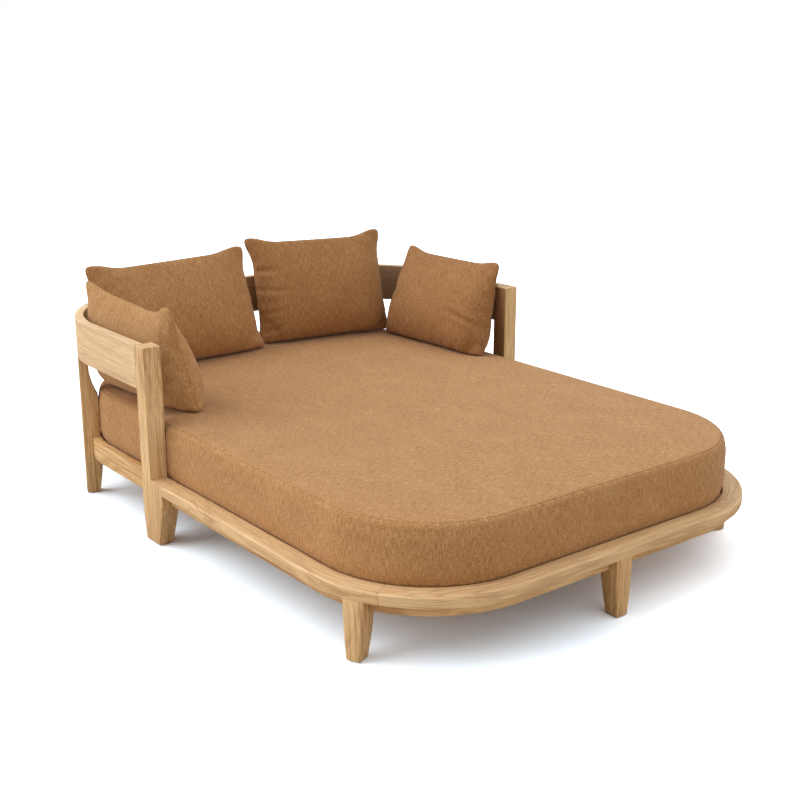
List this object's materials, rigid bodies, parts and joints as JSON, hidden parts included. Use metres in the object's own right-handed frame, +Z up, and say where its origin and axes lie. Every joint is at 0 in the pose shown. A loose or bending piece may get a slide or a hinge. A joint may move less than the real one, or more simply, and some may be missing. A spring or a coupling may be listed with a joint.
{
  "type": "double chaise lounger",
  "caption": "Wide outdoor lounger in light timber: rounded seat ring on tapered legs, low bent band for arms and back, slatted deck, thick mattress and loose pillows.",
  "frame": {"origin": "on the floor under the middle of the lounger", "axes": "+X towards the right arm seen from the foot, +Y towards the back, +Z up"},
  "size_m": [1.6, 2.16, 0.8135],
  "materials": {
    "teak": "oiled, satin",
    "beech": "raw",
    "steel": "plain",
    "glide": "matte",
    "canvas": "woven, heathered"
  },
  "bodies": {
    "frame": {"left_side_cap": "teak", "right_side_cap": "teak", "foot_cap": "teak", "left_head_cap": "teak", "right_head_cap": "teak", "left_foot_apron": "teak", "right_foot_apron": "teak", "left_head_apron": "teak", "right_head_apron": "teak", "left_foot_cleat": "teak", "right_foot_cleat": "teak", "left_head_cleat": "teak", "right_head_cleat": "teak", "left_foot_leg": "teak", "right_foot_leg": "teak", "foot_centre_leg": "teak", "left_arm_post": "teak", "right_arm_post": "teak", "left_head_post": "teak", "right_head_post": "teak", "head_centre_post": "teak", "left_arm_band": "teak", "right_arm_band": "teak", "back_band": "teak", "centre_beam": "teak", "foot_cross_rail": "teak", "arm_cross_rail": "teak", "long_slats": "teak", "foot_slat_1": "teak", "foot_slat_2": "teak", "foot_slat_3": "teak", "foot_slat_4": "teak", "foot_slat_5": "teak", "head_slat_1": "teak", "head_slat_2": "teak", "head_slat_3": "teak", "head_slat_4": "teak", "head_slat_5": "teak", "band_dowels": "beech", "leg_bolts": "steel", "cap_screws": "steel", "slat_screws": "steel", "angle_brackets": "steel", "bracket_screws": "steel", "leg_glides": "glide"},
    "mattress": {"mattress": "canvas"},
    "left_back_pillow": {"left_back_pillow": "canvas"},
    "right_back_pillow": {"right_back_pillow": "canvas"},
    "left_arm_pillow": {"left_arm_pillow": "canvas"},
    "right_arm_pillow": {"right_arm_pillow": "canvas"}
  },
  "joints": [
    {"name": "mattress_lift", "type": "slide", "parent": "frame", "child": "mattress", "axis": [0, 0, 1], "range_m": [0, 0.48]},
    {"name": "left_back_pillow_lift", "type": "slide", "parent": "mattress", "child": "left_back_pillow", "axis": [0, 0, 1], "range_m": [0, 0.3]},
    {"name": "right_back_pillow_lift", "type": "slide", "parent": "mattress", "child": "right_back_pillow", "axis": [0, 0, 1], "range_m": [0, 0.3]},
    {"name": "left_arm_pillow_lift", "type": "slide", "parent": "mattress", "child": "left_arm_pillow", "axis": [0, 0, 1], "range_m": [0, 0.3]},
    {"name": "right_arm_pillow_lift", "type": "slide", "parent": "mattress", "child": "right_arm_pillow", "axis": [0, 0, 1], "range_m": [0, 0.3]}
  ]
}
